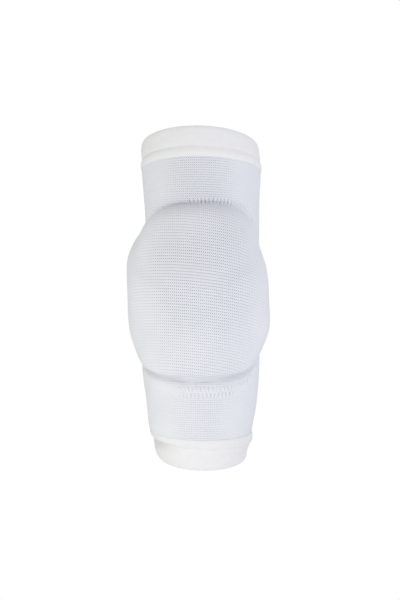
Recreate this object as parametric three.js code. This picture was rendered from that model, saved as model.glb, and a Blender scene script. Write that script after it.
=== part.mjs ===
// Volleyball knee pad: a knitted tube sleeve with an elastic cuff at each end, and a foam pad that a second
// knitted layer holds on its front. Millimetres, +Z up the leg and the pad facing -Y. The origin is on the
// axis of the leg, level with the middle of the knee.
import * as THREE from 'three';

// Form of the leg that the sleeve keeps, from the lower rim to the upper one. Each row is one section of the
// sleeve's outer face: up is its height on the leg's axis, side and back how far its middle lies towards +X and
// +Y of that axis, wide and deep its half sizes, lean the degrees that its plane tips up at the front, and cant
// the degrees that it drops towards +X.
const FORM = [
  { up: -121.0, side: -0.1, back: 6.0, wide: 33.5, deep: 34.0, lean: -14.2, cant: 3.1 },
  { up: -113.5, side: -1.0, back: 5.0, wide: 35.0, deep: 35.4, lean: -9.8, cant: 3.8 },
  { up: -108.2, side: -0.2, back: 4.5, wide: 36.8, deep: 37.2, lean: -6.9, cant: 4.2 },
  { up: -101.7, side: -0.7, back: 4.0, wide: 38.4, deep: 38.9, lean: -6.3, cant: 1.8 },
  { up: -80.0, side: 0.1, back: 2.5, wide: 41.6, deep: 42.4, lean: -4.5, cant: 1.0 },
  { up: -55.0, side: -0.2, back: 1.0, wide: 44.1, deep: 44.8, lean: -3.0, cant: 0.5 },
  { up: 0.0, side: 0.2, back: 0.0, wide: 43.5, deep: 44.2, lean: 0.0, cant: 0.5 },
  { up: 55.0, side: 0.9, back: 1.0, wide: 43.0, deep: 44.3, lean: 3.0, cant: 0.5 },
  { up: 75.0, side: 0.2, back: 2.0, wide: 43.8, deep: 45.2, lean: 4.0, cant: 0.8 },
  { up: 94.2, side: -0.3, back: 3.5, wide: 45.0, deep: 46.1, lean: 9.9, cant: -0.4 },
  { up: 100.7, side: -0.6, back: 4.0, wide: 44.7, deep: 45.8, lean: 11.2, cant: -0.4 },
  { up: 114.1, side: -1.6, back: 5.0, wide: 44.3, deep: 45.5, lean: 14.9, cant: -0.8 },
];

// Knit and its joints: the wall of one knitted layer, the gap between pieces that meet at a joint, and the
// gap between layers that lie on each other.
const KNIT_WALL = 2.0;
const GAP = 0.3;
const LAYER_GAP = 0.5;

// Heights where the sleeve joins its cuffs, and where the cuffs end in a folded rim.
const UPPER_JOINT = 94.2;
const UPPER_RIM = 114.1;
const LOWER_JOINT = -101.7;
const LOWER_RIM = -121;

// Cuff: a doubled welt, whose wall lies partly outside the form, with a strip next to the joint, a crease
// above the strip and a rounded rim.
const CUFF_WALL = 3.0;
const CUFF_PROUD = 0.4;
const STRIP_HEIGHT = 6.5;
const STRIP_PROUD = 0.5;
const CREASE_HALF = 1.0;
const CREASE_DEPTH = 0.3;
const RIM_ROUND = 3.0;

// Pad: a dome with a superellipse outline, wrapped round the front of the sleeve.
const PAD_MIDDLE = 2.7;
const PAD_HALF_HEIGHT = 63;
const PAD_HALF_ANGLE = THREE.MathUtils.degToRad(93.6);
const PAD_SQUARENESS = 2.85;
const PAD_THICKNESS = 20.3;
const PAD_FULLNESS = 3.3;

// The foam ends short of the edge of its cover: the share of the cover's reach that it fills.
const FOAM_REACH = 0.9;

// Facets round the leg, up the sleeve, round the pad and from the middle of the pad to its edge.
const SIDES_ROUND_LEG = 48;
const ROWS_UP_SLEEVE = 15;
const SIDES_ROUND_PAD = 48;
const RINGS_TO_EDGE = 11;

const COLUMNS = ['side', 'back', 'wide', 'deep', 'lean', 'cant'];
const heights = FORM.map((row) => row.up);
const values = FORM.flatMap((row) => COLUMNS.map((column) => row[column]));
const sections = new THREE.CubicInterpolant(heights, values, COLUMNS.length);

// The point at a height on the leg, an angle round it from the front towards +X, and a distance out of its form.
function onLeg(up, angle, out) {
  const [side, back, wide, deep, lean, cant] = sections.evaluate(up);
  const x = (wide + out) * Math.sin(angle);
  const y = -(deep + out) * Math.cos(angle);
  const tip = THREE.MathUtils.degToRad(lean);
  const drop = Math.tan(THREE.MathUtils.degToRad(cant));
  return new THREE.Vector3(side + x, back + y * Math.cos(tip), up - y * Math.sin(tip) - x * drop);
}

// Moves each vertex of a geometry to the point that a function gives for it.
function reshape(geometry, place) {
  const position = geometry.getAttribute('position');
  const vertex = new THREE.Vector3();
  for (let i = 0; i < position.count; i += 1) {
    const moved = place(vertex.fromBufferAttribute(position, i));
    position.setXYZ(i, moved.x, moved.y, moved.z);
  }
  geometry.computeVertexNormals();
  return geometry;
}

// A tube round the leg from a closed wall profile, a list of heights and distances out of the form. The profile
// is turned as a plain ring first, at a radius that keeps its own axis clear.
function tubeOnLeg(profile) {
  const ringRadius = 40;
  const points = profile.map(({ up, out }) => new THREE.Vector2(ringRadius + out, up));
  points.push(points[0].clone());
  const ring = new THREE.LatheGeometry(points, SIDES_ROUND_LEG);
  return reshape(ring, (v) => onLeg(v.y, Math.atan2(v.x, v.z), Math.hypot(v.x, v.z) - ringRadius));
}

// Sleeve wall: its outer face upwards, then its inner face back down.
function sleeveGeometry() {
  const foot = LOWER_JOINT + GAP / 2;
  const head = UPPER_JOINT - GAP / 2;
  const profile = [];
  for (let row = 0; row <= ROWS_UP_SLEEVE; row += 1) {
    profile.push({ up: THREE.MathUtils.lerp(foot, head, row / ROWS_UP_SLEEVE), out: 0 });
  }
  for (let row = ROWS_UP_SLEEVE; row >= 0; row -= 1) {
    profile.push({ up: THREE.MathUtils.lerp(foot, head, row / ROWS_UP_SLEEVE), out: -KNIT_WALL });
  }
  return tubeOnLeg(profile);
}

// Cuff wall: from the joint over the strip, the crease and the face to the rim, then back inside.
function cuffGeometry(joint, rim) {
  const way = Math.sign(rim - joint);
  const foot = joint + way * GAP / 2;
  const crease = joint + way * STRIP_HEIGHT;
  const inside = CUFF_PROUD - CUFF_WALL;
  const profile = [
    { up: foot, out: inside },
    { up: foot, out: STRIP_PROUD - CREASE_HALF / 2 },
    { up: foot + way * CREASE_HALF, out: STRIP_PROUD },
    { up: crease - way * CREASE_HALF, out: STRIP_PROUD },
    { up: crease, out: -CREASE_DEPTH },
    { up: crease + way * CREASE_HALF, out: CUFF_PROUD },
    { up: (crease + rim) / 2, out: CUFF_PROUD },
    { up: rim - way * RIM_ROUND, out: CUFF_PROUD },
    { up: rim - way * RIM_ROUND / 5, out: CUFF_PROUD - CUFF_WALL / 5 },
    { up: rim, out: CUFF_PROUD - CUFF_WALL / 2 },
    { up: rim - way * RIM_ROUND / 5, out: inside + CUFF_WALL / 5 },
    { up: rim - way * RIM_ROUND, out: inside },
    { up: (crease + rim) / 2, out: inside },
  ];
  return tubeOnLeg(way > 0 ? profile : profile.reverse());
}

// Height of the pad's dome at a share of the way from its middle to its edge.
function domeHeight(share) {
  return PAD_THICKNESS * (1 - share ** PAD_FULLNESS);
}

// A closed pad from a sphere whose front half becomes the outer face and whose back half the inner one. The
// functions give each face's distance out of the sleeve at a share of the way to the edge.
function padGeometry(reach, outerFace, innerFace) {
  const sphere = new THREE.SphereGeometry(1, SIDES_ROUND_PAD, 2 * RINGS_TO_EDGE);
  return reshape(sphere, (v) => {
    const ring = Math.acos(THREE.MathUtils.clamp(v.y, -1, 1)) / (Math.PI / 2);
    const front = Math.round(ring * RINGS_TO_EDGE) < RINGS_TO_EDGE;
    const share = reach * (front ? ring : 2 - ring);
    const length = Math.hypot(v.x, v.z) || 1;
    const across = v.x / length;
    const along = -v.z / length;
    const spread = (Math.abs(across) ** PAD_SQUARENESS + Math.abs(along) ** PAD_SQUARENESS) || 1;
    const radius = share * spread ** (-1 / PAD_SQUARENESS);
    const out = front ? outerFace(share) : innerFace(share);
    return onLeg(PAD_MIDDLE + radius * along * PAD_HALF_HEIGHT, radius * across * PAD_HALF_ANGLE, out);
  });
}

// Cover: a knitted layer over the foam, which runs out on the sleeve at its edge.
function padCoverGeometry() {
  const outerFace = (share) => LAYER_GAP + domeHeight(share);
  const innerFace = (share) => LAYER_GAP + Math.max(0, domeHeight(share) - KNIT_WALL);
  return padGeometry(1, outerFace, innerFace);
}

// Foam: a dome that fills the space between the sleeve and the cover.
function foamPadGeometry() {
  const outerFace = (share) => domeHeight(share) - KNIT_WALL - GAP;
  const innerFace = () => LAYER_GAP;
  return padGeometry(FOAM_REACH, outerFace, innerFace);
}

const plainWelt = new THREE.MeshStandardMaterial({ color: '#f1f1ef', roughness: 0.8, metalness: 0 });
const whiteKnit = new THREE.MeshStandardMaterial({ color: '#e6e8ec', roughness: 0.9, metalness: 0 });
const foam = new THREE.MeshStandardMaterial({ color: '#d9d8d2', roughness: 1, metalness: 0 });

const kneePad = new THREE.Group();

function addPiece(name, geometry, material) {
  const piece = new THREE.Mesh(geometry, material);
  piece.name = name;
  kneePad.add(piece);
}

addPiece('upper_cuff', cuffGeometry(UPPER_JOINT, UPPER_RIM), plainWelt);
addPiece('sleeve', sleeveGeometry(), whiteKnit);
addPiece('foam_pad', foamPadGeometry(), foam);
addPiece('pad_cover', padCoverGeometry(), whiteKnit);
addPiece('lower_cuff', cuffGeometry(LOWER_JOINT, LOWER_RIM), plainWelt);

export default kneePad;
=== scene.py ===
"""A white knitted volleyball knee pad: sleeve, foam, pad cover and cuffs, in a plain studio."""
import math
from collections import namedtuple

import bmesh
import bpy
import numpy as np
from mathutils import Euler, Matrix, Vector


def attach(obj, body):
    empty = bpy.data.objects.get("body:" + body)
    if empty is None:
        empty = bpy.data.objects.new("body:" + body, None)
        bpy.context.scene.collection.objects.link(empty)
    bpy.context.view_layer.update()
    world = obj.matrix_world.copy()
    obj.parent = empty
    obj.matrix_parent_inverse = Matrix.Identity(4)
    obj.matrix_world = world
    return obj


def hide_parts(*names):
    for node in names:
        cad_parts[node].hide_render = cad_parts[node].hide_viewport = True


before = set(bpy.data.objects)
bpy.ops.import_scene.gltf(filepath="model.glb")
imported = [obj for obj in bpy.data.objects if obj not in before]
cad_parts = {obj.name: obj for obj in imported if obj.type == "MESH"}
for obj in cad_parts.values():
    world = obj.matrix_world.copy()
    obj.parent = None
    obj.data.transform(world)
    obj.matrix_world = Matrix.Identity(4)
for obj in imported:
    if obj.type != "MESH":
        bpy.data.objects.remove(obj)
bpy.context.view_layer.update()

# Sleeve
# A tube of white polyester and elastane knit that runs behind the pad and is open at both ends. It is
# knitted round in one piece, so its courses go round the leg as low ribs and its wales run up it in even
# columns.

# Sections of the sleeve's outer face, from the lower rim to the upper one: height on the leg's axis, how
# far the middle lies towards +X and +Y, half width and half depth, degrees that the plane tips up in
# front, and degrees that it drops towards +X. Most of these numbers are the rounded result of a
# least-squares fit to the outline and the crease lines of the photograph.
Section = namedtuple("Section", "up side back wide deep lean cant")
FORM = [
    Section(-0.1210, -0.0001, 0.0060, 0.0335, 0.0340, -14.2, 3.1),
    Section(-0.1135, -0.0010, 0.0050, 0.0350, 0.0354, -9.8, 3.8),
    Section(-0.1082, -0.0002, 0.0045, 0.0368, 0.0372, -6.9, 4.2),
    Section(-0.1017, -0.0007, 0.0040, 0.0384, 0.0389, -6.3, 1.8),
    Section(-0.0800, 0.0001, 0.0025, 0.0416, 0.0424, -4.5, 1.0),
    Section(-0.0550, -0.0002, 0.0010, 0.0441, 0.0448, -3.0, 0.5),
    Section(0.0000, 0.0002, 0.0000, 0.0435, 0.0442, 0.0, 0.5),
    Section(0.0550, 0.0009, 0.0010, 0.0430, 0.0443, 3.0, 0.5),
    Section(0.0750, 0.0002, 0.0020, 0.0438, 0.0452, 4.0, 0.8),
    Section(0.0942, -0.0003, 0.0035, 0.0450, 0.0461, 9.9, -0.4),
    Section(0.1007, -0.0006, 0.0040, 0.0447, 0.0458, 11.2, -0.4),
    Section(0.1141, -0.0016, 0.0050, 0.0443, 0.0455, 14.9, -0.8),
]

# Where the sleeve joins its cuffs, how far it is tucked under them, and the wall of one knitted layer.
LOWER_JOINT = -0.1017
UPPER_JOINT = 0.0942
SLEEVE_TUCK = 0.0003
KNIT_WALL = 0.0020

# The sleeve's knit: wales round the leg, height of a course level with the origin, how fast the courses
# grow higher up the leg, height of their ribs, and the grid that carries them.
WALES_ROUND = 188
COURSE = 0.00171
COURSE_SPREAD = 0.156
SLEEVE_RELIEF = 0.00010
ROWS_PER_COURSE = 4
SLEEVE_COLUMNS = 96

# How far the sleeve's knit is stretched below and above, and where it is slack: at both sides of the
# middle of the front, less so round the back, and on the roll under the pad. A pair of values is where a
# change starts and ends.
STRETCH_LOW = 0.65
STRETCH_HIGH = 1.05
STRETCH_CHANGE = (-0.06, 0.06)
SLACK = 0.75
SLACK_MIDDLE = math.radians(6)
SLACK_ANGLES = np.radians((8, 46))
BACK_TAUT = 0.8
BACK_ANGLES = np.radians((95, 170))
ROLL_SLACK = 0.6

# The pad's edge on the sleeve, a superellipse in height and angle, which is squarer below and turned a
# little. The dome of the pad stops short of that edge by a share of its half height, and the knit sinks
# into a groove along the dome. Below the edge the gathered sleeve stands out in a low roll, which fades
# out at the sides.
PAD_MIDDLE = 0.0027
PAD_HALF_HEIGHT = 0.063
PAD_HALF_ANGLE = math.radians(93.6)
PadHalf = namedtuple("PadHalf", "squareness turn dome groove_depth groove_width groove_past")
UPPER_HALF = PadHalf(2.97, -0.060, 0.978, 0.0022, 0.0017, 0.0)
LOWER_HALF = PadHalf(3.20, 0.012, 0.936, 0.0019, 0.0020, 0.0015)
HALVES_BLEND = (-0.3, 0.3)
LEAST_SHARE = 0.01
ROLL_HEIGHT = 0.0009
ROLL_DISTANCE = 0.0060
ROLL_WIDTH = 0.0030
ROLL_ANGLES = np.radians((60, 85))

# Gathers: rows of pulled stitches beside the pad's edge. Each row has its distance from the edge, half
# its height, the degrees where it starts and ends, the wale of each pair that its slits stand on, 1 or
# -1, and how far they are pulled open. They lean to and fro and are pulled unevenly, in waves that don't
# keep step with the wales.
Gather = namedtuple("Gather", "below distance half start end wale pull")
GATHERS = [
    Gather(True, 0.0048, 0.0020, -14, 66, 1, 0.42),
    Gather(True, 0.0092, 0.0018, -12, 42, -1, 0.45),
    Gather(False, 0.0004, 0.0024, -4, 58, 1, 0.45),
]
GATHER_FADE = math.radians(8)
GATHER_HALVES = (0.5, 1.3)
GATHER_LEAN = 0.30
LEAN_WAVES = 17
LEAN_START = 1
UNEVEN = 0.35
UNEVEN_WAVE = 1.9
UNEVEN_SWING = 2
UNEVEN_DRIFT = 0.7

# The painted shade in the fold under the pad, where shadow falls: how far past the dome's edge and how far
# below the pad's middle it deepens, where it fades out past the pad's edge, and how it opens at the middle
# of the front, the angle from which the knit of the pad goes out evenly to both sides.
FOLD_DEEPENS = (-0.0005, 0.0010)
FOLD_ENDS = (0.1, 0.5)
FOLD_FADE = (-0.0020, 0.0028)
EVEN_MIDDLE = math.radians(8)
OPEN_ANGLES = np.radians((12, 32))
OPEN_INSIDE = 0.5
OPEN_MORE = 0.3
OPEN_EDGE = (-0.0030, 0)

# Shades of the knit, from 0 on the yarn to 1 in the dark between stitches: in a hole, in the notch of a
# wale, along the gap between courses and in a gather's slit, and the painted shade of the shadow in the fold
# under the pad. The waves of wales and courses are 1 at a hole, and the next values are where on them the
# shades change. Last come its faint patches, its relief and its colours.
HOLE_SHADE = 0.85
NOTCH_SHADE = 0.34
GAP_SHADE = 0.07
SLIT_SHADE = 0.55
FOLD_SHADE = 0.22
HOLE_FULL = 0.85
NOTCH_TO_HOLE = (-0.3, 0.3)
GAP_EDGES = (-0.6, 0.9)
PATCH_SIZE = 0.030
PATCH_TONE = 0.02
PATCH_NOISE = (0.3, 0.7)
KNIT_BUMP = 0.0004
YARN_COLOUR = "#E5E7EB"
BETWEEN_COLOUR = "#7E8592"


def leg_size(name, up):
    """One size of the sleeve's section at each height, on a smooth curve through the rows of FORM."""
    heights = np.array([row.up for row in FORM])
    sizes = np.array([getattr(row, name) for row in FORM])
    climbs = np.diff(sizes) / np.diff(heights)
    slopes = np.concatenate(([climbs[0]], (climbs[:-1] + climbs[1:]) / 2, [climbs[-1]]))
    low = np.clip(np.searchsorted(heights, up, side="right") - 1, 0, len(FORM) - 2)
    span = heights[low + 1] - heights[low]
    s = (up - heights[low]) / span
    start = sizes[low] * (1 + 2 * s) + slopes[low] * span * s
    end = sizes[low + 1] * (3 - 2 * s) + slopes[low + 1] * span * (s - 1)
    return start * (1 - s) ** 2 + end * s ** 2


def on_leg(up, angle, out):
    """Points at heights on the leg, angles from its front to +X, and distances out of the sleeve's face."""
    x = (leg_size("wide", up) + out) * np.sin(angle)
    y = -(leg_size("deep", up) + out) * np.cos(angle)
    lean = np.radians(leg_size("lean", up))
    drop = np.tan(np.radians(leg_size("cant", up)))
    return np.stack([leg_size("side", up) + x, leg_size("back", up) + y * np.cos(lean),
                     up - y * np.sin(lean) - x * drop], axis=-1)


def ease(value, start, end):
    """A smooth step from 0 at start to 1 at end."""
    s = np.clip((value - start) / (end - start), 0, 1)
    return s * s * (3 - 2 * s)


def cloth_grid(name, columns, rows, lay_out):
    """A grid of quads as cloth. lay_out gets each point's place across and up the grid, from -1 to 1, and
    gives its place in the frame, its count of wales and courses, which becomes the UV map, and its
    attributes."""
    bm = bmesh.new()
    bmesh.ops.create_grid(bm, x_segments=columns, y_segments=rows, size=1)
    mesh = bpy.data.meshes.new(name)
    bm.to_mesh(mesh)
    bm.free()
    points = np.empty(len(mesh.vertices) * 3)
    mesh.vertices.foreach_get("co", points)
    across, along, _ = points.reshape(-1, 3).T
    places, stitches, attributes = lay_out(across, along)
    mesh.vertices.foreach_set("co", places.ravel())
    corners = np.empty(len(mesh.loops), np.int32)
    mesh.loops.foreach_get("vertex_index", corners)
    mesh.uv_layers.new(name="knit").data.foreach_set("uv", stitches[corners].ravel())
    for attribute, values in attributes.items():
        mesh.attributes.new(attribute, "FLOAT", "POINT").data.foreach_set("value", values)
    return mesh


def close_seams(mesh):
    """Merges the edges of a mesh that meet, and turns its faces out."""
    bm = bmesh.new()
    bm.from_mesh(mesh)
    bmesh.ops.remove_doubles(bm, verts=bm.verts, dist=1e-6)
    bmesh.ops.recalc_face_normals(bm, faces=bm.faces)
    bm.to_mesh(mesh)
    bm.free()


def add_piece(name, mesh, material):
    """A piece of the object, smooth shaded, that rides on its one body."""
    mesh.shade_smooth()
    mesh.materials.append(material)
    piece = bpy.data.objects.new(name, mesh)
    bpy.context.scene.collection.objects.link(piece)
    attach(piece, "root")
    return piece


def linear(hex_colour):
    """A hex sRGB colour as linear red, green, blue and alpha."""
    channels = [int(hex_colour[i:i + 2], 16) / 255 for i in (1, 3, 5)]
    return [c / 12.92 if c <= 0.04045 else ((c + 0.055) / 1.055) ** 2.4 for c in channels] + [1]


def add_node(tree, kind, links=None, **settings):
    """Adds a node with its settings, and gives its inputs values or links from other nodes' outputs."""
    node = tree.nodes.new(kind)
    for name, value in settings.items():
        setattr(node, name, value)
    for socket, value in (links or {}).items():
        if isinstance(value, bpy.types.NodeSocket):
            tree.links.new(value, node.inputs[socket])
        else:
            node.inputs[socket].default_value = value
    return node


def polyester_knit():
    """Matt polyester yarn in plain knit, with stitches as coarse as they need to be to show. The eye sees
    light courses with a thin shadow between them, in that shadow a small dark hole between each two wales,
    and on the courses a fainter notch in the middle of each wale. The stretch of the cloth opens the holes.
    Where it is gathered each pair of wales has a long slit beside it, and where it is folded under the pad a
    painted shade lies over it for the shadow there."""
    material = bpy.data.materials.new("white polyester knit")
    material.use_nodes = True
    tree = material.node_tree
    shader = tree.nodes["Principled BSDF"]
    stitch = add_node(tree, "ShaderNodeUVMap", uv_map="knit").outputs["UV"]
    stretch = add_node(tree, "ShaderNodeAttribute", attribute_name="stretch").outputs["Fac"]
    gather = add_node(tree, "ShaderNodeAttribute", attribute_name="gather").outputs["Fac"]
    # The fold attribute holds a painted shade for the shadow in the fold under the pad.
    fold = add_node(tree, "ShaderNodeAttribute", attribute_name="fold").outputs["Fac"]
    turns = add_node(tree, "ShaderNodeVectorMath", {0: stitch, 1: [2 * math.pi] * 3}, operation="MULTIPLY")
    turn = add_node(tree, "ShaderNodeSeparateXYZ", {0: turns.outputs[0]})
    wale_wave = add_node(tree, "ShaderNodeMath", {0: turn.outputs["X"]}, operation="COSINE").outputs[0]
    course_wave = add_node(tree, "ShaderNodeMath", {0: turn.outputs["Y"]}, operation="COSINE").outputs[0]
    crossing = add_node(tree, "ShaderNodeMath", {0: wale_wave, 1: course_wave}, operation="MULTIPLY")
    spot = add_node(tree, "ShaderNodeMapRange", {0: crossing.outputs[0], 2: HOLE_FULL},
                    interpolation_type="SMOOTHSTEP")
    depth = add_node(tree, "ShaderNodeMapRange", {0: course_wave, 1: NOTCH_TO_HOLE[0], 2: NOTCH_TO_HOLE[1],
                                                  3: NOTCH_SHADE, 4: HOLE_SHADE})
    hole = add_node(tree, "ShaderNodeMath", {0: spot.outputs[0], 1: depth.outputs[0]}, operation="MULTIPLY")
    gap = add_node(tree, "ShaderNodeMapRange", {0: course_wave, 1: GAP_EDGES[0], 2: GAP_EDGES[1],
                                                4: GAP_SHADE}, interpolation_type="SMOOTHSTEP")
    root = add_node(tree, "ShaderNodeMath", {0: stretch}, operation="SQRT")
    line = add_node(tree, "ShaderNodeMath", {0: gap.outputs[0], 1: root.outputs[0]}, operation="MULTIPLY")
    pair_turn = add_node(tree, "ShaderNodeMath", {0: turn.outputs["X"], 1: 0.5}, operation="MULTIPLY")
    pair_wave = add_node(tree, "ShaderNodeMath", {0: pair_turn.outputs[0]}, operation="COSINE")
    pulled = add_node(tree, "ShaderNodeMath", {0: pair_wave.outputs[0], 1: gather}, operation="MULTIPLY")
    slit = add_node(tree, "ShaderNodeMapRange", {0: pulled.outputs[0], 4: SLIT_SHADE},
                    interpolation_type="SMOOTHSTEP")
    # A gather's slit, with the painted shade of the fold under the pad added to it.
    slit_and_painted_shade = add_node(tree, "ShaderNodeMath", {0: fold, 1: FOLD_SHADE, 2: slit.outputs[0]},
                      operation="MULTIPLY_ADD")
    lined = add_node(tree, "ShaderNodeMath", {0: line.outputs[0], 1: slit_and_painted_shade.outputs[0]}, operation="ADD")
    shade = add_node(tree, "ShaderNodeMath", {0: hole.outputs[0], 1: stretch, 2: lined.outputs[0]},
                     operation="MULTIPLY_ADD", use_clamp=True).outputs[0]
    place = add_node(tree, "ShaderNodeTexCoord").outputs["Object"]
    patches = add_node(tree, "ShaderNodeTexNoise", {"Vector": place, "Scale": 1 / PATCH_SIZE, "Detail": 3.0})
    tone = add_node(tree, "ShaderNodeMapRange", {0: patches.outputs[0], 1: PATCH_NOISE[0], 2: PATCH_NOISE[1],
                                                 3: 1 - PATCH_TONE, 4: 1 + PATCH_TONE})
    knit = add_node(tree, "ShaderNodeMix", {"Factor": shade, 6: linear(YARN_COLOUR),
                                            7: linear(BETWEEN_COLOUR)}, data_type="RGBA")
    toned = add_node(tree, "ShaderNodeVectorMath", {0: knit.outputs[2], "Scale": tone.outputs[0]},
                     operation="SCALE")
    tree.links.new(toned.outputs[0], shader.inputs["Base Color"])
    relief = add_node(tree, "ShaderNodeBump", {"Height": shade, "Distance": KNIT_BUMP, "Strength": 0.6},
                      invert=True)
    tree.links.new(relief.outputs[0], shader.inputs["Normal"])
    shader.inputs["Roughness"].default_value = 0.9
    shader.inputs["Specular IOR Level"].default_value = 0.2
    shader.inputs["Sheen Weight"].default_value = 0.1
    shader.inputs["Sheen Roughness"].default_value = 0.5
    return material


def rib(course):
    """How far a knit's course stands out of the gaps beside it, from 0 to 1, at a count of courses."""
    return 0.5 - 0.5 * np.cos(2 * math.pi * course)


def pad_size(name, end):
    """One size of the upper or the lower half of the pad, at parts of its half height."""
    return np.where(end > 0, getattr(UPPER_HALF, name), getattr(LOWER_HALF, name))


def pad_blend(name, end):
    """One size of the pad that changes smoothly from the lower half to the upper one."""
    low, high = getattr(LOWER_HALF, name), getattr(UPPER_HALF, name)
    return low + (high - low) * ease(end, *HALVES_BLEND)


def pad_share(side, end):
    """Share of the way from the pad's middle to its edge, at parts of its half angle and half height."""
    squareness = pad_size("squareness", end)
    return (np.abs(side) ** squareness + np.abs(end) ** squareness) ** (1 / squareness)


def pad_part(up, angle):
    """Parts of the pad's half angle and half height at heights on the leg and angles round it."""
    side = angle / PAD_HALF_ANGLE
    end = (up - PAD_MIDDLE) / PAD_HALF_HEIGHT
    return side, end + pad_size("turn", end) * side * np.abs(end)


def pad_up(side, end):
    """Height on the leg at parts of the pad's half angle and half height."""
    return PAD_MIDDLE + PAD_HALF_HEIGHT * end / (1 + pad_size("turn", end) * side * np.sign(end))


def edge_end(side, end):
    """The part of the pad's half height where its edge lies, on the same half as end."""
    squareness = pad_size("squareness", end)
    return np.sign(end) * (1 - np.minimum(np.abs(side), 1) ** squareness) ** (1 / squareness)


def past(share, up, angle):
    """Distance outside a line round the pad, less than 0 inside, from the share of the way to that line."""
    from_middle = np.hypot(up - PAD_MIDDLE, angle * leg_size("deep", up))
    outside = from_middle * (1 - 1 / np.maximum(share, LEAST_SHARE))
    return np.where(share < LEAST_SHARE, -PAD_HALF_HEIGHT, outside)


def past_edge(up, angle):
    """Distance outside the pad's edge."""
    return past(pad_share(*pad_part(up, angle)), up, angle)


def past_dome(up, angle):
    """Distance outside the edge of the pad's dome."""
    side, end = pad_part(up, angle)
    return past(pad_share(side, end / pad_size("dome", end)), up, angle)


def groove(up, angle):
    """How far the knit sinks in along the dome of the pad."""
    _, end = pad_part(up, angle)
    from_middle = (past_dome(up, angle) - pad_blend("groove_past", end)) / pad_blend("groove_width", end)
    return pad_blend("groove_depth", end) * np.exp(-from_middle ** 2 / 2)


def gather_lean(angle):
    """How far the gathers lean from upright, as a slope, at angles round the leg."""
    return GATHER_LEAN * np.sin(LEAN_WAVES * angle + LEAN_START)


def gathered(up, angle):
    """How much the sleeve is gathered, from 0 to 1, with the sign of the wale that the slits stand on, and
    how many wales to the side the leaning slits have come at each height."""
    from_edge = past_edge(up, angle)
    wales_each_turn = WALES_ROUND / (2 * math.pi)
    wale = angle * wales_each_turn
    drift = UNEVEN_SWING * np.sin(UNEVEN_DRIFT * wale)
    uneven = 1 - UNEVEN + UNEVEN * np.sin(UNEVEN_WAVE * wale + drift)
    amount = np.zeros_like(up)
    aside = np.zeros_like(up)
    for row in GATHERS:
        inside = 1 - ease(np.abs(from_edge - row.distance) / row.half, *GATHER_HALVES)
        inside *= (up < PAD_MIDDLE) == row.below
        start, end = math.radians(row.start), math.radians(row.end)
        reach = ease(angle, start - GATHER_FADE, start) * (1 - ease(angle, end, end + GATHER_FADE))
        amount += inside * reach * row.wale * row.pull
        way = -1 if row.below else 1
        aside += inside * reach * way * (from_edge - row.distance) * gather_lean(angle)
    return amount * uneven, aside / leg_size("deep", up) * wales_each_turn


def roll(up, angle):
    """The roll under the pad, from 0 to 1 on its top."""
    rise = np.exp(-((past_edge(up, angle) - ROLL_DISTANCE) / ROLL_WIDTH) ** 2 / 2) * (up < PAD_MIDDLE)
    return rise * (1 - ease(np.abs(angle), *ROLL_ANGLES))


def sleeve_face(up, angle):
    """How far the sleeve's face stands out of its plain form beside the pad."""
    return ROLL_HEIGHT * roll(up, angle) - groove(up, angle)


def fold_depth(up, angle):
    """How deep a place lies in the fold under the pad, from 0 to 1. The fold runs up a little beside it."""
    _, end = pad_part(up, angle)
    return ease(past_dome(up, angle), *FOLD_DEEPENS) * ease(-end, *FOLD_ENDS)


def painted_fold_shade(up, angle):
    """Painted shade for the shadow in the fold under the pad, from 0 to 1. The shade opens in the fold's
    middle, and fades out on the sleeve below."""
    from_edge = past_edge(up, angle)
    middle = 1 - ease(np.abs(angle - EVEN_MIDDLE), *OPEN_ANGLES)
    opened = middle * (OPEN_INSIDE + OPEN_MORE * ease(from_edge, *OPEN_EDGE))
    return fold_depth(up, angle) * (1 - ease(from_edge, *FOLD_FADE)) * (1 - opened)


def lay_sleeve(across, along):
    """Lays the sleeve's grid round the leg, with its ribs, and counts its stitches."""
    foot = LOWER_JOINT - SLEEVE_TUCK
    head = UPPER_JOINT + SLEEVE_TUCK
    up = foot + (head - foot) * (along + 1) / 2
    angle = across * math.pi
    in_front = up + leg_size("deep", up) * np.sin(np.radians(leg_size("lean", up)))
    course = in_front / COURSE * (1 - COURSE_SPREAD * in_front)
    out = sleeve_face(up, angle) + SLEEVE_RELIEF * (rib(course) - 1)
    gather, aside = gathered(up, angle)
    stitches = np.stack([across * WALES_ROUND / 2 - aside, course], axis=-1)
    slack = SLACK * ease(np.abs(angle - SLACK_MIDDLE), *SLACK_ANGLES)
    slack *= 1 - BACK_TAUT * ease(np.abs(angle), *BACK_ANGLES)
    stretch = STRETCH_LOW + (STRETCH_HIGH - STRETCH_LOW) * ease(up, *STRETCH_CHANGE)
    stretch *= (1 - slack) * (1 - ROLL_SLACK * roll(up, angle))
    # The fold attribute is a painted shade for the shadow in the fold under the pad.
    knit = {"stretch": stretch, "fold": painted_fold_shade(up, angle), "gather": gather}
    return on_leg(up, angle, out), stitches, knit


white_knit = polyester_knit()
sleeve_rows = round((UPPER_JOINT - LOWER_JOINT) / COURSE) * ROWS_PER_COURSE
sleeve_mesh = cloth_grid("sleeve_knit", SLEEVE_COLUMNS, sleeve_rows, lay_sleeve)
close_seams(sleeve_mesh)
sleeve = add_piece("sleeve_knit", sleeve_mesh, white_knit)
wall = sleeve.modifiers.new("wall", "SOLIDIFY")
wall.thickness = KNIT_WALL - SLEEVE_RELIEF
wall.offset = -1
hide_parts("sleeve")

# Gather stitches
# Short floats of the sleeve's own yarn that stand up between the slits where the knit is pulled in beside
# the pad. They are part of the knitting, so each is only a soft low loop on the sleeve's face.
STITCH_HALF_WIDTH = 0.00075
STITCH_PROUD = 0.00040
STITCH_REACH = 1.1
STITCH_SIDES = 8
STITCH_RINGS = 6

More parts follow.
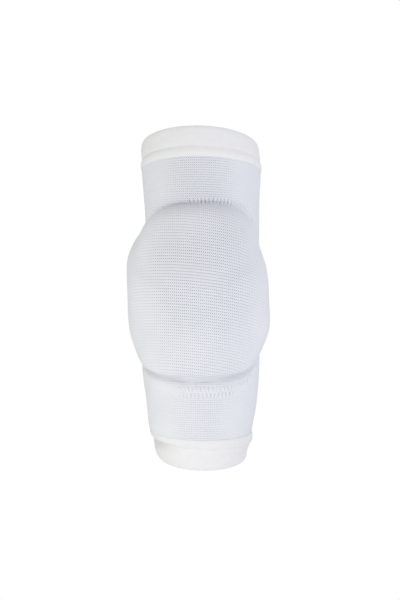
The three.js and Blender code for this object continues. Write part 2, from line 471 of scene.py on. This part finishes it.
stitch_places = []
for row in GATHERS:
    first = math.ceil(math.radians(row.start) / (2 * math.pi) * WALES_ROUND)
    last = math.floor(math.radians(row.end) / (2 * math.pi) * WALES_ROUND)
    for wale in range(first, last + 1):
        if wale % 2 == (1 if row.wale > 0 else 0):
            stitch_places.append((row, wale * 2 * math.pi / WALES_ROUND))
stitch_bm = bmesh.new()
for row, angle in stitch_places:
    way = -1 if row.below else 1
    side = angle / PAD_HALF_ANGLE
    middle = pad_up(side, edge_end(side, way)) + way * row.distance
    sphere = bmesh.ops.create_uvsphere(stitch_bm, u_segments=STITCH_SIDES, v_segments=STITCH_RINGS,
                                       radius=1)
    loop = sphere["verts"]
    x, y, z = np.array([vertex.co for vertex in loop]).T
    up = middle + z * row.half * STITCH_REACH
    turned = angle + (x * STITCH_HALF_WIDTH + z * row.half * gather_lean(angle)) / leg_size("deep", up)
    for vertex, place in zip(loop, on_leg(up, turned, y * STITCH_PROUD + sleeve_face(up, turned))):
        vertex.co = place
stitch_mesh = bpy.data.meshes.new("gather_stitches")
stitch_bm.to_mesh(stitch_mesh)
stitch_bm.free()
close_seams(stitch_mesh)
floats = add_piece("gather_stitches", stitch_mesh, white_knit)

# Foam core
# A crowned pad of white polyurethane foam, moulded to the curve of the knee. It is slipped between the
# sleeve and its cover before the knit is closed.

# The pad's form over the sleeve: its thickness, how full it is towards its sides and its steep ends, how
# far its crown lies below its middle, the round ridge from which its front falls, and the fillets at its
# upper corners and along its edge.
PAD_THICKNESS = 0.0203
SIDE_FULLNESS = 3.3
END_FULLNESS = 24.0
END_SHARPNESS = 6
CROWN_DROP = 0.12
RIDGE = 0.15
RIDGE_ROUND = 0.28
RIDGE_FALL = 0.82
RIDGE_SIDES = (0.45, 0.9)
CORNER_FILLET = 0.0060
EDGE_FILLET = 0.0005
TINY = 1e-6

# Where the pad is pressed in or stands out of its plain dome: angle and height of the place, and how far.
# The last value is the height of the pad under which the dents fade out.
Dent = namedtuple("Dent", "angle up out")
DENTS = [
    Dent(-80, 0.036, 0.0056),
    Dent(85, 0.032, -0.0022),
    Dent(85, -0.022, 0.0020),
    Dent(85, -0.040, -0.0012),
]
DENT_ANGLE = 22
DENT_HEIGHT = 0.012
DENT_FADE = 0.004

# The foam in it: the share of the pad's outline that it fills, its thin edge, its gap to the sleeve and
# its slack under the cover, how its ball is spread and flattened, and its pores.
FOAM_REACH = 0.86
FOAM_EDGE = 0.0006
FOAM_GAP = 0.0005
FOAM_SLACK = 0.0015
FOAM_SPREAD = 0.7
FOAM_ROUND = 0.35
FOAM_SIDES = 96
FOAM_RINGS = 64
PORE_SIZE = 0.0015
PORE_BUMP = 0.0004
PORE_COLOUR = "#B9B5A6"
FOAM_COLOUR = "#E4E2DA"


def pad_height(up, angle):
    """Height of the pad over the sleeve. Its front falls from a round ridge to its steep ends, its upper
    corners run out in a soft curve, and the dents of a worn pad are in it."""
    side, end = pad_part(up, angle)
    end = end / pad_size("dome", end)
    crowned = end + CROWN_DROP * np.maximum(1 - pad_share(side, end) ** 2, 0)
    share = np.maximum(pad_share(side, crowned), TINY)
    endwise = (np.abs(crowned) / share) ** pad_size("squareness", crowned)
    fullness = SIDE_FULLNESS + (END_FULLNESS - SIDE_FULLNESS) * endwise ** END_SHARPNESS
    from_ridge = np.hypot(end - RIDGE, RIDGE_ROUND) - RIDGE_ROUND
    front = 1 - ease(np.abs(side), *RIDGE_SIDES)
    height = PAD_THICKNESS * np.maximum(1 - share ** fullness, 0) * (1 - front * RIDGE_FALL * from_ridge)
    corner = ease(end, *HALVES_BLEND) * 4 * endwise * (1 - endwise)
    height *= 1 - np.exp(-height / (EDGE_FILLET + CORNER_FILLET * corner))
    for dent in DENTS:
        near = ((np.degrees(angle) - dent.angle) / DENT_ANGLE) ** 2 + ((up - dent.up) / DENT_HEIGHT) ** 2
        height += dent.out * np.exp(-near / 2) * np.clip(height / DENT_FADE, 0, 1)
    return height


def moulded_foam():
    """Open cell polyurethane foam, moulded: dull, faintly yellow, with a skin of fine pores."""
    material = bpy.data.materials.new("white polyurethane foam")
    material.use_nodes = True
    tree = material.node_tree
    shader = tree.nodes["Principled BSDF"]
    place = add_node(tree, "ShaderNodeTexCoord").outputs["Object"]
    pores = add_node(tree, "ShaderNodeTexVoronoi", {"Vector": place, "Scale": 1 / PORE_SIZE},
                     feature="SMOOTH_F1")
    colour = add_node(tree, "ShaderNodeMix", {"Factor": pores.outputs[0], 6: linear(PORE_COLOUR),
                                              7: linear(FOAM_COLOUR)}, data_type="RGBA")
    tree.links.new(colour.outputs[2], shader.inputs["Base Color"])
    relief = add_node(tree, "ShaderNodeBump", {"Height": pores.outputs[0], "Distance": PORE_BUMP})
    tree.links.new(relief.outputs[0], shader.inputs["Normal"])
    shader.inputs["Roughness"].default_value = 1.0
    shader.inputs["Specular IOR Level"].default_value = 0.1
    return material


foam_bm = bmesh.new()
bmesh.ops.create_uvsphere(foam_bm, u_segments=FOAM_SIDES, v_segments=FOAM_RINGS, radius=1)
foam_mesh = bpy.data.meshes.new("foam_core")
foam_bm.to_mesh(foam_mesh)
foam_bm.free()
ball = np.array([vertex.co for vertex in foam_mesh.vertices])
turn = np.arctan2(ball[:, 1], ball[:, 0])
flat_share = FOAM_REACH * np.hypot(ball[:, 0], ball[:, 1]) ** FOAM_SPREAD
spread = flat_share / pad_share(np.cos(turn), np.sin(turn))
foam_up = pad_up(spread * np.cos(turn), spread * np.sin(turn))
foam_angle = spread * np.cos(turn) * PAD_HALF_ANGLE
foam_top = pad_height(foam_up, foam_angle) - KNIT_WALL - FOAM_SLACK
foam_top = np.maximum(foam_top, FOAM_GAP + FOAM_EDGE)
foam_out = FOAM_GAP + (foam_top - FOAM_GAP) * ease(ball[:, 2], -FOAM_ROUND, FOAM_ROUND)
foam_mesh.vertices.foreach_set("co", on_leg(foam_up, foam_angle, foam_out).ravel())
close_seams(foam_mesh)
foam = add_piece("foam_core", foam_mesh, moulded_foam())
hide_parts("foam_pad")

# Pad cover
# A second layer of the same knit that leaves the sleeve at the pad's edge and is stretched over the foam.
# The stretch opens the holes between its stitches, and its courses bow and slope down towards +X.

# The cover's knit: its grid and how near its ends come to a point, height of its ribs, width of a wale
# and height of a course, the slope and bow of its courses and the steepest climb that their count
# follows, and the angle to which its wales look evenly wide from the front, with the part of a wale that
# the count starts from.
COVER_COLUMNS = 100
COVER_ROWS_PER_COURSE = 6
COVER_TIP = 0.9995
COVER_RELIEF = 0.00016
COVER_WALE = 0.001445
COVER_COURSE = 0.00203
COVER_SLANT = 0.07
COVER_BOW = 1.4
STEEPEST_COUNT = 2.0
COUNT_REACH = 0.070
COUNT_STEPS = 281
EVEN_ANGLE = math.radians(32)
WALE_START = 0.25

# How far the cover's knit is stretched: most in the middle of the ridge, less towards its sides and its
# ends.
COVER_STRETCH = 1.06
SIDE_SLACK = 0.88
SIDE_ANGLES = np.radians((12, 58))
END_SLACK = 0.3
END_PARTS = (0.20, 0.80)

# The cover's edge: its lift off the sleeve, the share of the wall that is left there and the height of
# the pad over which the wall grows, and how far the cover bulges over the sleeve along its lower edge.
EDGE_LIFT = 0.0004
EDGE_WALL_SHARE = 0.15
EDGE_WALL_RISE = 2 * KNIT_WALL
OVERHANG = 0.0020
OVERHANG_REACH = 0.0070
OVERHANG_RISE = 0.0020
OVERHANG_ENDS = (-0.1, 0.4)

# Swelling: a coarse copy of the cover, held along the edge of the dome, is blown up as cloth for a few
# frames, while its knit gives a little. It starts inside the finished form, less so at its sides, no point
# moves in, as the foam would stop it, and no point moves out further than the cap.
SWELL_COLUMNS = 40
SWELL_ROWS = 44
SWELL_START = 0.0011
SWELL_EDGE = (0, 0.006)
SWELL_SIDES = (0.6, 0.8)
SIDES_FULL = 0.8
HELD_EDGE = (-0.006, -0.002)
SWELL_CAP = 0.0014
SWELL_PRESSURE = 40.0
SWELL_MASS = 0.005
SWELL_GROWTH = 0.015
SWELL_FRAMES = 20
SWELL_SMOOTHING = 3


def hang_over(up, angle, height):
    """Moves points of the cover outwards near the pad's lower edge, where it bulges over the sleeve."""
    side, end = pad_part(up, angle)
    deep = leg_size("deep", up)
    power = pad_size("squareness", end) - 1
    out_up = np.sign(end) * np.abs(end) ** power / PAD_HALF_HEIGHT
    out_side = np.sign(side) * np.abs(side) ** power / (PAD_HALF_ANGLE * deep)
    length = np.maximum(np.hypot(out_up, out_side), TINY)
    bulge = OVERHANG * (1 - np.exp(-height / OVERHANG_RISE)) * ease(-end, *OVERHANG_ENDS)
    bulge *= np.exp(-(past_dome(up, angle) / OVERHANG_REACH) ** 2)
    return up + bulge * out_up / length, angle + bulge * out_side / length / deep


def cover_part(across, along):
    """Parts of the pad's half angle and half height at places across and up the cover's grid."""
    end = along * COVER_TIP
    squareness = pad_size("squareness", end)
    return across * (1 - np.abs(end) ** squareness) ** (1 / squareness), end


def cover_face(up, angle, relief):
    """Places of the cover's outer face before it swells."""
    slack = SWELL_START * ease(-past_dome(up, angle), *SWELL_EDGE)
    slack *= 1 - SIDES_FULL * ease(np.abs(angle) / PAD_HALF_ANGLE, *SWELL_SIDES)
    height = np.maximum(pad_height(up, angle) - slack, 0)
    return on_leg(*hang_over(up, angle, height), EDGE_LIFT + height + relief - groove(up, angle))


def lay_slack(across, along):
    """Lays the coarse copy of the cover, and says how firmly each point is held."""
    side, end = cover_part(across, along)
    up = pad_up(side, end)
    angle = side * PAD_HALF_ANGLE
    held = ease(past_dome(up, angle), *HELD_EDGE)
    return cover_face(up, angle, 0), np.stack([across, along], axis=-1), {"held": held}


def swollen():
    """How far each point of the coarse cover moves out as it swells, by rows and columns."""
    mesh = cloth_grid("slack_cover", SWELL_COLUMNS, SWELL_ROWS, lay_slack)
    slack = bpy.data.objects.new("slack_cover", mesh)
    scene = bpy.context.scene
    scene.collection.objects.link(slack)
    held = slack.vertex_groups.new(name="held")
    for vertex, share in zip(mesh.vertices, mesh.attributes["held"].data):
        held.add([vertex.index], share.value, "REPLACE")
    cloth = slack.modifiers.new("swelling", "CLOTH").settings
    cloth.vertex_group_mass = "held"
    cloth.mass = SWELL_MASS
    cloth.shrink_min = -SWELL_GROWTH
    cloth.use_pressure = True
    cloth.uniform_pressure_force = SWELL_PRESSURE
    cloth.effector_weights.gravity = 0
    for step in range(1, SWELL_FRAMES + 1):
        scene.frame_set(step)
    blown = slack.evaluated_get(bpy.context.evaluated_depsgraph_get()).data
    moved = np.array([after.co - before.co for after, before in zip(blown.vertices, mesh.vertices)])
    normals = np.array([vertex.normal for vertex in mesh.vertices])
    scene.frame_set(1)
    bpy.data.objects.remove(slack)
    out = np.clip((moved * normals).sum(axis=-1), 0, SWELL_CAP).reshape(SWELL_ROWS + 1, SWELL_COLUMNS + 1)
    for _ in range(SWELL_SMOOTHING):
        out[1:-1] = (out[:-2] + 2 * out[1:-1] + out[2:]) / 4
        out[:, 1:-1] = (out[:, :-2] + 2 * out[:, 1:-1] + out[:, 2:]) / 4
    return out[..., None] * normals.reshape(SWELL_ROWS + 1, SWELL_COLUMNS + 1, 3)


def swell_at(swell, across, along):
    """The swelling at places across and up the cover's grid, read between the points of the coarse one."""
    column = (across + 1) / 2 * SWELL_COLUMNS
    row = (along + 1) / 2 * SWELL_ROWS
    left = np.clip(column.astype(int), 0, SWELL_COLUMNS - 1)
    low = np.clip(row.astype(int), 0, SWELL_ROWS - 1)
    s = (column - left)[:, None]
    t = (row - low)[:, None]
    below = swell[low, left] * (1 - s) + swell[low, left + 1] * s
    above = swell[low + 1, left] * (1 - s) + swell[low + 1, left + 1] * s
    return below * (1 - t) + above * t


def front_way(up):
    """The way up the front of the pad over its dome, from the level of the frame's origin."""
    steps = np.linspace(-COUNT_REACH, COUNT_REACH, COUNT_STEPS)
    climb = np.gradient(pad_height(steps, np.full_like(steps, EVEN_MIDDLE)), steps)
    lengths = np.hypot(1, np.clip(climb, -STEEPEST_COUNT, STEEPEST_COUNT))
    way = np.concatenate(([0], np.cumsum((lengths[1:] + lengths[:-1]) / 2 * np.diff(steps))))
    return np.interp(up, steps, way - np.interp(0, steps, way))


def lay_cover(across, along):
    """Lays the cover's grid over the foam, swollen and with its ribs, and counts its stitches."""
    side, end = cover_part(across, along)
    up = pad_up(side, end)
    angle = side * PAD_HALF_ANGLE
    rise = PAD_THICKNESS * (np.abs(side) - np.abs(side) ** (SIDE_FULLNESS + 1) / (SIDE_FULLNESS + 1))
    arc = angle * leg_size("deep", up) + np.sign(angle) * rise * PAD_HALF_ANGLE
    course = (front_way(up) + COVER_SLANT * arc + COVER_BOW * arc ** 2) / COVER_COURSE
    turned = angle - EVEN_MIDDLE
    stretch = COVER_STRETCH - SIDE_SLACK * ease(np.abs(turned), *SIDE_ANGLES)
    stretch *= 1 - END_SLACK * ease(np.abs(end - RIDGE), *END_PARTS)
    # In the fold the knit's holes give way to its painted shade.
    stretch *= 1 - fold_depth(up, angle)
    relief = COVER_RELIEF * stretch * (rib(course) - 1)
    places = cover_face(up, angle, relief) + swell_at(swell, across, along)
    spread = np.sin(np.clip(turned, -EVEN_ANGLE, EVEN_ANGLE))
    spread += np.sign(turned) * np.maximum(np.abs(turned) - EVEN_ANGLE, 0) * math.cos(EVEN_ANGLE)
    crown = pad_height(up, np.full_like(up, EVEN_MIDDLE))
    wale = (leg_size("deep", up) + crown) * spread / COVER_WALE + WALE_START
    gather, aside = gathered(up, angle)
    # The fold attribute is a painted shade for the shadow in the fold under the pad.
    knit = {"stretch": stretch, "fold": painted_fold_shade(up, angle), "gather": gather * (up > PAD_MIDDLE),
            "height": pad_height(up, angle)}
    return places, np.stack([wale - aside, course], axis=-1), knit


swell = swollen()
cover_rows = round(2 * PAD_HALF_HEIGHT / COVER_COURSE) * COVER_ROWS_PER_COURSE
cover_mesh = cloth_grid("pad_cover_knit", COVER_COLUMNS, cover_rows, lay_cover)
cover = add_piece("pad_cover_knit", cover_mesh, white_knit)
thinned = cover.vertex_groups.new(name="wall")
for vertex, height in zip(cover_mesh.vertices, cover_mesh.attributes["height"].data):
    thinned.add([vertex.index], min(1, EDGE_WALL_SHARE + height.value / EDGE_WALL_RISE), "REPLACE")
wall = cover.modifiers.new("wall", "SOLIDIFY")
wall.thickness = KNIT_WALL - COVER_RELIEF
wall.offset = -1
wall.vertex_group = "wall"
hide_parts("pad_cover")

# Cuffs
# A doubled welt of plain fine elastic jersey at each end, folded over at the rim. A crease divides its
# smooth face from the strip where both layers are caught down on the edge of the sleeve.

# Each cuff's joint with the sleeve and its rim, and how far its strip stands proud. The crease is sharp
# towards -X: there the strip has a height of its own, the face is sunk beside the crease, and the crease is
# that deep and has that much painted shade, for the shadow that falls under the strip. Last comes the width
# of the cloth before it is folded.
Cuff = namedtuple("Cuff", "name joint rim strip_proud strip_left face_sunk crease_depth crease_shade "
                          "flat_width")
CUFFS = [
    Cuff("upper_cuff", UPPER_JOINT, 0.1134, 0.0010, 0.0010, 0.0, 0.0004, 0.0, 0.27),
    Cuff("lower_cuff", LOWER_JOINT, -0.1210, 0.0013, 0.0005, 0.0010, 0.0011, 0.42, 0.23),
]
JOINT_GAP = 0.0003
CUFF_WALL = 0.0030
CUFF_LAYER = 0.0012
CUFF_PROUD = 0.0004
STRIP_HEIGHT = 0.0065
STRIP_LIP = 0.0002
STRIP_SHOULDER = 0.8
INNER_LIP = 0.0012
RIM_ROUND = 0.0030
CUFF_COLUMNS = 72
CUFF_LEVELS = 2

# The crease: half its width, the share of the face's sinking beside it, the share of it that is smoothed
# away towards +X, where round the leg that goes on, as sines of the angle, and how far and fast its painted
# shade fades out.
CREASE_HALF = 0.0020
SUNK_BESIDE = 0.7
CREASE_FADE = 0.7
FADE_SINES = (-0.9, 0.2)
SHADE_ON_STRIP = 0.0012
SHADE_ON_FACE = 0.0045
SHADE_FADE = 4

# The jersey's wales round the leg, the size of its fuzz, how the two make its relief, and its colours, the
# last of them the painted shade of the crease.
JERSEY_WALES = 352
FUZZ_SIZE = 0.004
WALE_SHARE = 0.3
JERSEY_BUMP = 0.0002
JERSEY_COLOURS = ("#E6E6E6", "#EEEEEE")
CREASE_SHADOW_COLOUR = "#B0B0AE"


def elastic_jersey():
    """Bright white elastane jersey, tightly knitted: smooth and matt, with fine upright wales, drawn coarser
    than the real ones so that they show, and a painted shade for the shadow in a crease."""
    material = bpy.data.materials.new("white elastane jersey")
    material.use_nodes = True
    tree = material.node_tree
    shader = tree.nodes["Principled BSDF"]
    stitch = add_node(tree, "ShaderNodeUVMap", uv_map="knit").outputs["UV"]
    turns = add_node(tree, "ShaderNodeVectorMath", {0: stitch, 1: [2 * math.pi] * 3}, operation="MULTIPLY")
    turn = add_node(tree, "ShaderNodeSeparateXYZ", {0: turns.outputs[0]})
    wale_wave = add_node(tree, "ShaderNodeMath", {0: turn.outputs["X"]}, operation="COSINE").outputs[0]
    place = add_node(tree, "ShaderNodeTexCoord").outputs["Object"]
    noise = add_node(tree, "ShaderNodeTexNoise", {"Vector": place, "Scale": 1 / FUZZ_SIZE, "Detail": 5.0})
    fuzz = noise.outputs[0]
    height = add_node(tree, "ShaderNodeMath", {0: wale_wave, 1: WALE_SHARE, 2: fuzz},
                      operation="MULTIPLY_ADD")
    tone = add_node(tree, "ShaderNodeMix", {"Factor": fuzz, 6: linear(JERSEY_COLOURS[0]),
                                            7: linear(JERSEY_COLOURS[1])}, data_type="RGBA")
    # The fold attribute holds a painted shade for the shadow in the crease under the strip.
    fold = add_node(tree, "ShaderNodeAttribute", attribute_name="fold").outputs["Fac"]
    shaded = add_node(tree, "ShaderNodeMix", {"Factor": fold, 6: tone.outputs[2], 7: linear(CREASE_SHADOW_COLOUR)},
                      data_type="RGBA")
    tree.links.new(shaded.outputs[2], shader.inputs["Base Color"])
    relief = add_node(tree, "ShaderNodeBump", {"Height": height.outputs[0], "Distance": JERSEY_BUMP,
                                               "Strength": 0.5})
    tree.links.new(relief.outputs[0], shader.inputs["Normal"])
    shader.inputs["Roughness"].default_value = 0.85
    shader.inputs["Specular IOR Level"].default_value = 0.25
    shader.inputs["Sheen Weight"].default_value = 0.1
    return material


def cuff_profile(cuff, strip_proud, fade):
    """The two layers of a cuff as heights and distances out of the sleeve's face: up the strip and the
    face, over the rim, down inside to a lip over the sleeve's edge, and back through the fold between the
    layers. The fade is the share of the crease that is smoothed away."""
    joint, rim, crease_depth = cuff.joint, cuff.rim, cuff.crease_depth
    sunk = cuff.face_sunk * (1 - fade) * SUNK_BESIDE
    way = math.copysign(1, rim - joint)
    crease = joint + way * STRIP_HEIGHT
    middle = (crease + rim) / 2
    inside = CUFF_PROUD - CUFF_WALL
    return np.array([
        (joint - way * STRIP_LIP, 0),
        (joint - way * STRIP_LIP, strip_proud / 5),
        (joint + way * STRIP_HEIGHT / 5, strip_proud * STRIP_SHOULDER),
        (joint + way * STRIP_HEIGHT / 2, strip_proud),
        (crease - way * CREASE_HALF, strip_proud * STRIP_SHOULDER),
        (crease - way * CREASE_HALF / 3, strip_proud * (1 + fade) / 4),
        (crease, (CUFF_PROUD + crease_depth) * fade - crease_depth),
        (crease + way * CREASE_HALF / 3, CUFF_PROUD * fade - sunk),
        (crease + way * CREASE_HALF, CUFF_PROUD - sunk),
        (middle, CUFF_PROUD),
        (rim - way * RIM_ROUND, CUFF_PROUD),
        (rim - way * RIM_ROUND / 5, CUFF_PROUD - CUFF_WALL / 5),
        (rim, CUFF_PROUD - CUFF_WALL / 2),
        (rim - way * RIM_ROUND / 5, inside + CUFF_WALL / 5),
        (rim - way * RIM_ROUND, inside),
        (middle, inside),
        (joint - way * INNER_LIP, inside),
        (joint - way * INNER_LIP, -KNIT_WALL - JOINT_GAP / 2),
        (joint + way * JOINT_GAP * 2, -KNIT_WALL - JOINT_GAP / 2),
        (joint + way * JOINT_GAP * 2, inside + CUFF_LAYER),
        (middle, inside + CUFF_LAYER),
        (rim - way * RIM_ROUND, (inside + CUFF_PROUD) / 2),
        (middle, CUFF_PROUD - CUFF_LAYER),
        (crease, -crease_depth - CUFF_LAYER / 2),
        (joint + way * JOINT_GAP * 2, 0),
        (joint - way * STRIP_LIP, 0),
    ])


jersey = elastic_jersey()
for row in CUFFS:
    creased = cuff_profile(row, row.strip_left, 0)
    smoothed = cuff_profile(row, row.strip_proud, CREASE_FADE)
    steps = len(creased) - 1

    def lay_cuff(across, along):
        """Lays the cuff's grid round the leg and over its rim, with the painted shade of its crease."""
        place = np.rint((along + 1) / 2 * steps).astype(int)
        angle = across * math.pi
        faded = ease(np.sin(angle), *FADE_SINES)
        up = creased[place, 0]
        out = creased[place, 1] * (1 - faded) + smoothed[place, 1] * faded
        stitches = np.stack([across * JERSEY_WALES / 2, up / COURSE], axis=-1)
        past_crease = np.abs(up - row.joint) - STRIP_HEIGHT
        reach = np.where(past_crease > 0, SHADE_ON_FACE, SHADE_ON_STRIP)
        # A painted shade for the shadow under the strip, strongest towards -X.
        fold = row.crease_shade * (1 - faded) ** SHADE_FADE * np.exp(-(past_crease / reach) ** 2)
        return on_leg(up, angle, out), stitches, {"fold": fold}

    cuff_mesh = cloth_grid(row.name + "_welt", CUFF_COLUMNS, steps, lay_cuff)
    close_seams(cuff_mesh)
    cuff = add_piece(row.name + "_welt", cuff_mesh, jersey)
    soft = cuff.modifiers.new("soft", "SUBSURF")
    soft.levels = CUFF_LEVELS
    soft.render_levels = CUFF_LEVELS
    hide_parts(row.name)

# Studio
# A white room with a pale paper floor well under the pad, which is held up in the air as on a leg. Strip
# lights are set low round the front, so that the pad's lower half is the lighter one, with a high one at
# the right and one behind. The camera stands at the photograph's angle.
FLOOR_DROP = 0.42
FLOOR_RADIUS = 0.30
FLOOR_SIDES = 96
FLOOR_COLOUR = "#E2E2E2"

floor_bm = bmesh.new()
bmesh.ops.create_circle(floor_bm, cap_ends=True, segments=FLOOR_SIDES, radius=FLOOR_RADIUS,
                        matrix=Matrix.Translation((0, 0, -FLOOR_DROP)))
floor_mesh = bpy.data.meshes.new("floor")
floor_bm.to_mesh(floor_mesh)
floor_bm.free()
paper = bpy.data.materials.new("white paper floor")
paper.use_nodes = True
paper.node_tree.nodes["Principled BSDF"].inputs["Base Color"].default_value = linear(FLOOR_COLOUR)
paper.node_tree.nodes["Principled BSDF"].inputs["Roughness"].default_value = 0.9
floor_mesh.materials.append(paper)
floor = bpy.data.objects.new("floor", floor_mesh)
bpy.context.scene.collection.objects.link(floor)

# The room's light: its strength and how much it gains from below, its shares from the left, from the
# right and from behind, the direction of behind and where the change to it starts and ends, and its
# tints.
ROOM_LIGHT = 0.89
ROOM_SLOPE = 0.18
ROOM_LEFT = 0.94
ROOM_RIGHT = 0.99
ROOM_BEHIND = 0.5
BEHIND_WAY = Vector((-0.3, 0.95, 0))
BEHIND_EDGES = (0.2, 0.85)
LEFT_TINT = "#FFFFFA"
RIGHT_TINT = "#F6F6FF"
BACKDROP_COLOUR = "#FFFFFF"

world = bpy.data.worlds.new("studio")
bpy.context.scene.world = world
world.use_nodes = True
sky = world.node_tree
for node in list(sky.nodes):
    sky.nodes.remove(node)
ray = add_node(sky, "ShaderNodeTexCoord").outputs["Generated"]
ray_way = add_node(sky, "ShaderNodeSeparateXYZ", {0: ray})
glow = add_node(sky, "ShaderNodeMapRange", {0: ray_way.outputs["Z"], 1: -1, 2: 1,
                                            3: ROOM_LIGHT * (1 + ROOM_SLOPE),
                                            4: ROOM_LIGHT * (1 - ROOM_SLOPE)})
rightwards = add_node(sky, "ShaderNodeMapRange", {0: ray_way.outputs["X"], 1: -1, 2: 1})
tint = add_node(sky, "ShaderNodeMix", {"Factor": rightwards.outputs[0], 6: linear(LEFT_TINT),
                                       7: linear(RIGHT_TINT)}, data_type="RGBA")
side_share = add_node(sky, "ShaderNodeMapRange", {0: ray_way.outputs["X"], 1: -1, 2: 1,
                                                  3: ROOM_LEFT, 4: ROOM_RIGHT})
backwards = add_node(sky, "ShaderNodeVectorMath", {0: ray, 1: BEHIND_WAY}, operation="DOT_PRODUCT")
back_share = add_node(sky, "ShaderNodeMapRange", {0: backwards.outputs["Value"], 1: BEHIND_EDGES[0],
                                                  2: BEHIND_EDGES[1], 3: 1, 4: ROOM_BEHIND})
shares = add_node(sky, "ShaderNodeMath", {0: side_share.outputs[0], 1: back_share.outputs[0]},
                  operation="MULTIPLY")
strength = add_node(sky, "ShaderNodeMath", {0: glow.outputs[0], 1: shares.outputs[0]}, operation="MULTIPLY")
room = add_node(sky, "ShaderNodeBackground", {"Color": tint.outputs[2], "Strength": strength.outputs[0]})
backdrop = add_node(sky, "ShaderNodeBackground", {"Color": linear(BACKDROP_COLOUR), "Strength": 1.0})
seen = add_node(sky, "ShaderNodeLightPath").outputs["Is Camera Ray"]
mixed = add_node(sky, "ShaderNodeMixShader", {0: seen, 1: room.outputs[0], 2: backdrop.outputs[0]})
add_node(sky, "ShaderNodeOutputWorld", {"Surface": mixed.outputs[0]})

# Each light's angle round the leg from the front, its height and its share of the power.
StripLight = namedtuple("StripLight", "angle up share")
STRIP_LIGHTS = [
    StripLight(-35, -0.25, 1.30),
    StripLight(35, -0.25, 0.68),
    StripLight(100, -0.25, 0.20),
    StripLight(60, 0.30, 0.62),
    StripLight(185, 0.10, 1.40),
]
LIGHT_POWER = 0.54
LIGHT_RADIUS = 0.55
LIGHT_WIDTH = 0.50
LIGHT_HEIGHT = 0.15
for row in STRIP_LIGHTS:
    turn = math.radians(row.angle)
    strip = bpy.data.lights.new("strip light", "AREA")
    strip.shape = "RECTANGLE"
    strip.size = LIGHT_WIDTH
    strip.size_y = LIGHT_HEIGHT
    strip.energy = LIGHT_POWER * row.share
    strip_light = bpy.data.objects.new("strip light", strip)
    strip_light.location = (LIGHT_RADIUS * math.sin(turn), -LIGHT_RADIUS * math.cos(turn), row.up)
    strip_light.rotation_euler = Euler((math.pi / 2, 0, turn))
    strip_light.visible_camera = False
    bpy.context.scene.collection.objects.link(strip_light)

# The camera's angle round the leg and its distance, its sensor in millimetres, the size of a pixel at the
# leg's axis, and where the origin lies from the centre of the image, in pixels to the right and up.
CAMERA_AZIMUTH = math.radians(8)
CAMERA_DISTANCE = 1.15
SENSOR_WIDTH = 36
PIXEL = 0.000755
IMAGE_HEIGHT = 600
ORIGIN_FROM_CENTRE = Vector((1, 4))
lens_camera = bpy.data.cameras.new("camera")
lens_camera.sensor_width = SENSOR_WIDTH
lens_camera.lens = CAMERA_DISTANCE * SENSOR_WIDTH / (IMAGE_HEIGHT * PIXEL)
camera = bpy.data.objects.new("camera", lens_camera)
right = Vector((math.cos(CAMERA_AZIMUTH), math.sin(CAMERA_AZIMUTH), 0))
towards = Vector((math.sin(CAMERA_AZIMUTH), -math.cos(CAMERA_AZIMUTH), 0))
camera.location = (towards * CAMERA_DISTANCE - right * ORIGIN_FROM_CENTRE.x * PIXEL
                   - Vector((0, 0, 1)) * ORIGIN_FROM_CENTRE.y * PIXEL)
camera.rotation_euler = Euler((math.pi / 2, 0, CAMERA_AZIMUTH))
bpy.context.scene.collection.objects.link(camera)
bpy.context.scene.camera = camera
bpy.context.scene.view_settings.view_transform = "Standard"
